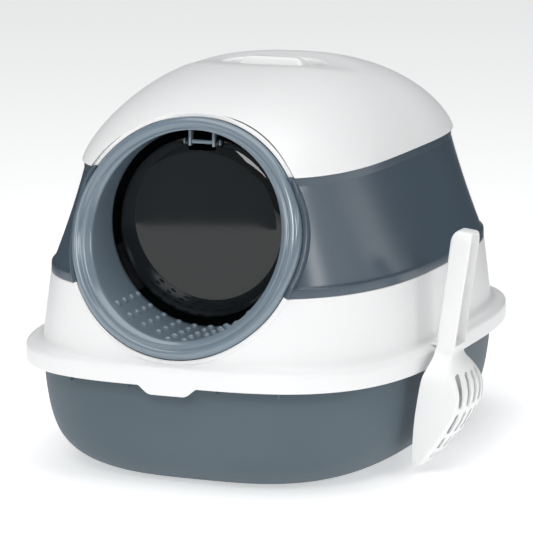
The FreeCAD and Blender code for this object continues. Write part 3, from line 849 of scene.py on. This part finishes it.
# the handle is a channel that opens outwards
cs = [(4.0, -7.4, 40.0, 15.3, 2.0), (30.0, -7.6, 40.0, 14.9, 2.0), (HL - 16, -8.4, 40.0, 13.1, 2.0)]
for i in range(1, 9):
    u = math.radians(90.0 * i / 8)
    ins = 7.6 * (1.0 - math.cos(u))
    cs.append((HL - 13.5 + 10.0 * math.sin(u), -8.4 + ins * 0.6, 40.0, 13.1 - ins * 0.9, 2.0))
rings = [[(x, y, z) for x, y in box_line(*q[1:])] for q in cs for z in (q[0],)]
chan = make_object("chan", *from_rings(rings, cap0=(15.0, 0, 4.0), cap1=(15.0, 0, cs[-1][0] + 0.2)))
boolean(hand, chan, sharp=34.0)
scoop = join_meshes("scoop_body", [bowl, hand], sharp=34.0)
turn = Matrix.Rotation(SCOOP_LEAN, 4, "Y")
scoop.data.transform(Matrix.Translation(SCOOP_AT * MM) @ turn)
hook = rounded_box("hook", (202.5, SCOOP_AT.y + 6.0, 131.5), (220.0, SCOOP_AT.y + 15.0, 133.8), 0.9, 3)
scoop = join_meshes("scoop_body", [scoop, hook], sharp=34.0)
dress(scoop, "scoop_white", "scoop", "scoop")

# ---------------------------------------------------------------- floor
me = bpy.data.meshes.new("floor")
me.from_pydata([(-9, -9, -0.0002), (9, -9, -0.0002), (9, 9, -0.0002), (-9, 9, -0.0002)], [], [(0, 1, 2, 3)])
floor = bpy.data.objects.new("floor", me)
scene.collection.objects.link(floor)
fm = bpy.data.materials.new("floor_pale")
fm.use_nodes = True
nt = fm.node_tree
fb = nt.nodes["Principled BSDF"]
fb.inputs["Roughness"].default_value = 0.9
fb.inputs["Specular IOR Level"].default_value = 0.1
fb.inputs["Emission Color"].default_value = (1, 1, 1, 1)
fb.inputs["Emission Strength"].default_value = 0.50
noise = nt.nodes.new("ShaderNodeTexNoise")
noise.inputs["Scale"].default_value = 3.0
ramp = nt.nodes.new("ShaderNodeValToRGB")
ramp.color_ramp.elements[0].color = (0.86, 0.86, 0.86, 1)
ramp.color_ramp.elements[1].color = (0.90, 0.90, 0.90, 1)
nt.links.new(noise.outputs["Fac"], ramp.inputs["Fac"])
nt.links.new(ramp.outputs["Color"], fb.inputs["Base Color"])
me.materials.append(fm)
# a low dark card in front, out of the picture, that the door mirrors
me = bpy.data.meshes.new("card")
me.from_pydata([(-0.75, 0, 0.0), (0.75, 0, 0.0), (0.75, 0, 0.5), (-0.75, 0, 0.5)], [], [(0, 1, 2, 3)])
card = bpy.data.objects.new("card", me)
card.location = (-0.56, -1.56, 0.0)
card.rotation_euler = (0, 0, math.radians(-21.7))
card.visible_camera = False
card.visible_diffuse = False
card.visible_shadow = False
scene.collection.objects.link(card)
cm = bpy.data.materials.new("card_dark")
cm.use_nodes = True
cb = cm.node_tree.nodes["Principled BSDF"]
cb.inputs["Roughness"].default_value = 0.95
cb.inputs["Specular IOR Level"].default_value = 0.0
cb.inputs["Emission Color"].default_value = (0.85, 0.95, 1.0, 1)
cb.inputs["Emission Strength"].default_value = 0.30
cn = cm.node_tree.nodes.new("ShaderNodeTexNoise")
cn.inputs["Scale"].default_value = 4.0
cr = cm.node_tree.nodes.new("ShaderNodeValToRGB")
cr.color_ramp.elements[0].color = (0.02, 0.022, 0.025, 1)
cr.color_ramp.elements[1].color = (0.05, 0.055, 0.06, 1)
cm.node_tree.links.new(cn.outputs["Fac"], cr.inputs["Fac"])
cm.node_tree.links.new(cr.outputs["Color"], cb.inputs["Base Color"])
me.materials.append(cm)
# two black flags beside the picture keep the pale floor out of the band's far ends
km = cm.copy()
km.name = "card_black"
km.node_tree.nodes["Principled BSDF"].inputs["Emission Strength"].default_value = 0.03
for name, az, away, half_w, top in (("flag_left", -117.0, 1.1, 0.5, 0.7), ("flag_right", 160.0, 1.1, 0.38, 0.55)):
    me = bpy.data.meshes.new(name)
    me.from_pydata([(-half_w, 0, 0.0), (half_w, 0, 0.0), (half_w, 0, top), (-half_w, 0, top)], [], [(0, 1, 2, 3)])
    me.materials.append(km)
    flag = bpy.data.objects.new(name, me)
    a = math.radians(az)
    flag.location = (math.sin(a) * away, -math.cos(a) * away, 0.0)
    flag.rotation_euler = (0, 0, a)
    flag.visible_camera = False
    flag.visible_diffuse = False
    flag.visible_shadow = False
    scene.collection.objects.link(flag)

# ---------------------------------------------------------------- light
world = bpy.data.worlds.new("studio")
scene.world = world
world.use_nodes = True
bg = world.node_tree.nodes["Background"]
bg.inputs["Color"].default_value = (0.9, 0.95, 1.0, 1)
bg.inputs["Strength"].default_value = 0.12


def area(name, az, el, dist, size, power, target=(0, 0, 0.2)):
    a, e = math.radians(az), math.radians(el)
    d = Vector((math.sin(a) * math.cos(e), -math.cos(a) * math.cos(e), math.sin(e)))
    li = bpy.data.lights.new(name, "AREA")
    li.shape = "RECTANGLE"
    li.size, li.size_y = size
    li.energy = power
    ob = bpy.data.objects.new(name, li)
    ob.location = Vector(target) + d * dist
    ob.rotation_euler = d.to_track_quat("Z", "Y").to_euler()
    scene.collection.objects.link(ob)
    return ob


area("key_front", 10, 29, 3.0, (1.1, 0.8), 23)
area("side_left", -50, 18, 2.8, (0.4, 0.9), 8)
area("side_right", 66, 22, 2.6, (0.5, 0.6), 7.2)
area("mid_right", 91, 18, 2.8, (1.5, 0.4), 3)
area("edge_right", 124, 14, 2.8, (1.5, 0.4), 3)
area("top_soft", 10, 84, 2.6, (2.6, 2.6), 31)
sun = bpy.data.lights.new("overhead", "SUN")
sun.energy, sun.angle = 0.6, math.radians(70)
so = bpy.data.objects.new("overhead", sun)
so.rotation_euler = (math.radians(14), 0, 0)
scene.collection.objects.link(so)

# ---------------------------------------------------------------- camera
yaw, pitch, dist = math.radians(21.72), math.radians(10.51), 3.532
back = Vector((math.sin(yaw) * math.cos(pitch), -math.cos(yaw) * math.cos(pitch), math.sin(pitch)))
right = Vector((math.cos(yaw), math.sin(yaw), 0))
cam = bpy.data.cameras.new("camera")
cam.sensor_width = 36.0
cam.sensor_fit = "HORIZONTAL"
cam.lens = 3409.8 * 36.0 / 533.0
cam.clip_end = 50.0
co = bpy.data.objects.new("camera", cam)
co.location = Vector((0, 0, 0.1814)) + back * dist - right * 0.00735
co.rotation_euler = back.to_track_quat("Z", "Y").to_euler()
scene.collection.objects.link(co)
scene.camera = co
scene.view_settings.view_transform = "Standard"
scene.view_settings.look = "None"
